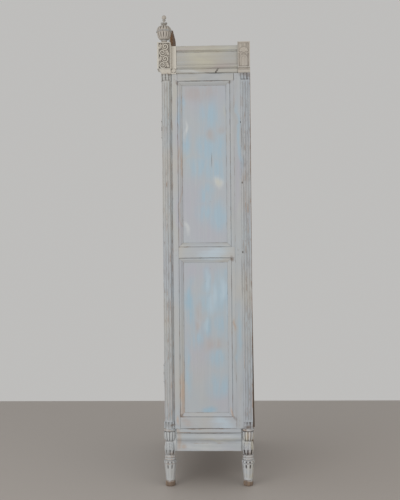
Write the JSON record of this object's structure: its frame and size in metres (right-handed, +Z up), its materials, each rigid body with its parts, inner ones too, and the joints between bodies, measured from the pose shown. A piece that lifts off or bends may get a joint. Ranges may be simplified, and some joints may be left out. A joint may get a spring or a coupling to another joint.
{
  "type": "bonnetiere cabinet",
  "caption": "Tall narrow painted cupboard with a single framed door, fluted corner columns, turned legs, finials and a carved crest; the door swings and its rim lock works.",
  "frame": {"origin": "on the floor, under the middle of the whole outline in plan, the key and the sprung back board included", "axes": "+X to the right for someone facing the door, on the hinges' side; +Y from the front to the back; +Z up"},
  "size_m": [0.957, 0.4606, 2.2483],
  "materials": {
    "painted_wood": "matt grey-cream paint, worn to the wood on its edges",
    "panel_paint": "matt grey paint over sky blue, rubbed through in patches",
    "inside_wood": "unpainted aged oak",
    "crest_wood": "dark bare carved oak, with worn paint on its front",
    "iron": "dark waxed wrought iron",
    "brass": "tarnished brass"
  },
  "bodies": {
    "cabinet": {"leg_front_right": "painted_wood", "leg_front_left": "painted_wood", "leg_back_right": "painted_wood", "leg_back_left": "painted_wood", "base_rail_side_right": "painted_wood", "base_rail_side_left": "painted_wood", "base_rail_front": "painted_wood", "base_rail_back": "painted_wood", "floor_board": "inside_wood", "post_front_right": "painted_wood", "post_front_left": "painted_wood", "post_back_right": "painted_wood", "post_back_left": "painted_wood", "side_rail_bottom_right": "painted_wood", "side_rail_bottom_left": "painted_wood", "side_rail_middle_right": "painted_wood", "side_rail_middle_left": "painted_wood", "side_rail_top_right": "painted_wood", "side_rail_top_left": "painted_wood", "side_panel_lower_right": "panel_paint", "side_panel_lower_left": "panel_paint", "side_panel_upper_right": "panel_paint", "side_panel_upper_left": "panel_paint", "shelf_lower": "inside_wood", "shelf_upper": "inside_wood", "cleat_lower_right": "inside_wood", "cleat_lower_left": "inside_wood", "cleat_upper_right": "inside_wood", "cleat_upper_left": "inside_wood", "back_board_lower": "inside_wood", "back_board_upper": "inside_wood", "hinge_lower_pin_half": "iron", "hinge_upper_pin_half": "iron", "keeper_plate": "iron", "block_front_right": "painted_wood", "block_front_left": "painted_wood", "block_back_right": "painted_wood", "block_back_left": "painted_wood", "frieze_side_right": "painted_wood", "frieze_side_left": "painted_wood", "frieze_front": "painted_wood", "frieze_back": "inside_wood", "top_board": "inside_wood", "crest": "crest_wood", "finial_right": "painted_wood", "finial_left": "painted_wood"},
    "door": {"door_stile_hinge": "painted_wood", "door_stile_lock": "painted_wood", "door_rail_bottom": "painted_wood", "door_rail_middle": "painted_wood", "door_rail_top": "painted_wood", "door_panel_lower": "panel_paint", "door_panel_upper": "panel_paint", "hinge_lower_door_half": "iron", "hinge_upper_door_half": "iron", "lock_case": "iron", "escutcheon": "brass"},
    "key": {"lock_key": "iron"},
    "bolt": {"lock_bolt": "iron"}
  },
  "joints": [
    {"name": "door_swing", "type": "hinge", "parent": "cabinet", "child": "door", "pos_m": [0.3797, -0.19545, 1.105], "axis": [0, 0, 1], "range_deg": [0, 110]},
    {"name": "key_turn", "type": "hinge", "parent": "door", "child": "key", "pos_m": [-0.3484, -0.1884, 1.0855], "axis": [0, -1, 0], "range_deg": [0, 360]},
    {"name": "bolt_slide", "type": "slide", "parent": "door", "child": "bolt", "axis": [-1, 0, 0], "range_m": [0, 0.014]}
  ],
  "couplings": [
    {"joint": "key_turn", "follows": "bolt_slide", "rad_per_m": 448.7}
  ]
}
